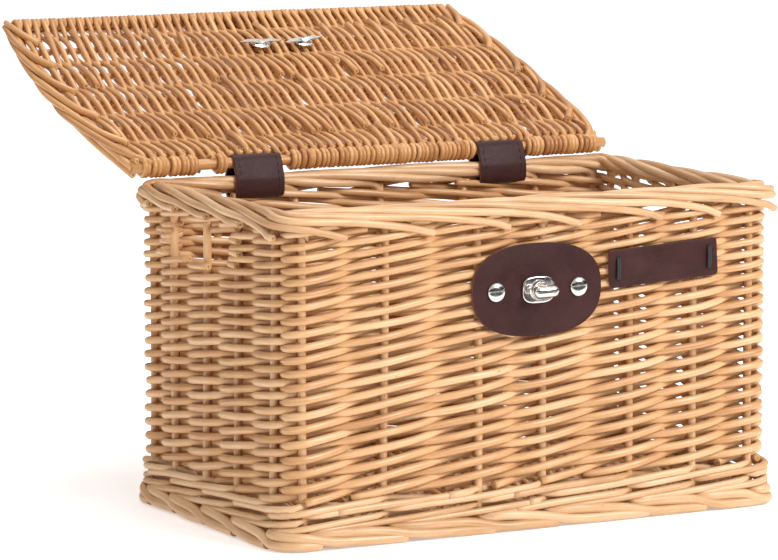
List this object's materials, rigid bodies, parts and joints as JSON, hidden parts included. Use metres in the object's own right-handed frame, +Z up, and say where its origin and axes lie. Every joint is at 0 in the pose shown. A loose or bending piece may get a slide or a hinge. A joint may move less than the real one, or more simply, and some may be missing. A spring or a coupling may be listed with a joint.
{
  "type": "woven wicker basket",
  "caption": "Rectangular woven willow basket with a hinged woven lid, leather hinge straps, a turn lock on a leather patch and a hand-hole in each end.",
  "frame": {"origin": "middle of the whole object's box, lid open, on the floor that the foot border stands on", "axes": "+X to the right seen from the lock's side, +Y from the lock to the hinge, +Z up"},
  "size_m": [0.421, 0.487, 0.3452],
  "materials": {
    "willow": "peeled willow, satin",
    "lid_willow": "peeled willow, darker, satin",
    "leather": "smooth dark brown leather, satin",
    "nickel": "bright nickel plate",
    "thread": "black waxed cord"
  },
  "bodies": {
    "basket": {"base_panel": "willow", "foot_border": "willow", "hinge_strap_left": "leather", "hinge_strap_right": "leather", "label": "leather", "label_stitch_left": "thread", "label_stitch_right": "thread", "lock_backing_plate": "nickel", "lock_base_plate": "nickel", "lock_patch": "leather", "lock_rivet_left": "nickel", "lock_rivet_right": "nickel", "lock_washer_left": "nickel", "lock_washer_right": "nickel", "rim_border": "willow", "siding": "willow", "stake_back_1": "willow", "stake_back_2": "willow", "stake_back_3": "willow", "stake_back_4": "willow", "stake_back_5": "willow", "stake_back_6": "willow", "stake_back_7": "willow", "stake_front_1": "willow", "stake_front_2": "willow", "stake_front_3": "willow", "stake_front_4": "willow", "stake_front_5": "willow", "stake_front_6": "willow", "stake_front_7": "willow", "stake_left_1": "willow", "stake_left_2": "willow", "stake_left_3": "willow", "stake_left_4": "willow", "stake_left_5": "willow", "stake_right_1": "willow", "stake_right_2": "willow", "stake_right_3": "willow", "stake_right_4": "willow", "stake_right_5": "willow", "upsett_waling": "willow"},
    "lid": {"lid_binding_left": "lid_willow", "lid_binding_right": "lid_willow", "lid_front_rod": "lid_willow", "lid_hinge_rod": "lid_willow", "lid_rod_2": "lid_willow", "lid_rod_3": "lid_willow", "lid_rod_4": "lid_willow", "lid_rod_5": "lid_willow", "lid_rod_6": "lid_willow", "lid_weave": "lid_willow", "tab_rivet_left": "nickel", "tab_rivet_right": "nickel", "tab_root": "leather", "tab_washer_left": "nickel", "tab_washer_right": "nickel"},
    "lock_tab": {"tab_flap": "leather", "tab_slot_plate": "nickel"},
    "toggle": {"lock_toggle": "nickel"}
  },
  "joints": [
    {"name": "lid_hinge", "type": "hinge", "parent": "basket", "child": "lid", "pos_m": [0.0035, 0.01058, 0.2495], "axis": [1, 0, 0], "range_deg": [0, 158]},
    {"name": "tab_fold", "type": "hinge", "parent": "lid", "child": "lock_tab", "pos_m": [0.0035, 0.24252, 0.3348], "axis": [1, 0, 0], "range_deg": [-10, 203.38]},
    {"name": "toggle_turn", "type": "hinge", "parent": "basket", "child": "toggle", "pos_m": [0.0015, -0.22342, 0.1745], "axis": [0, -1, 0], "range_deg": [0, 90]}
  ]
}
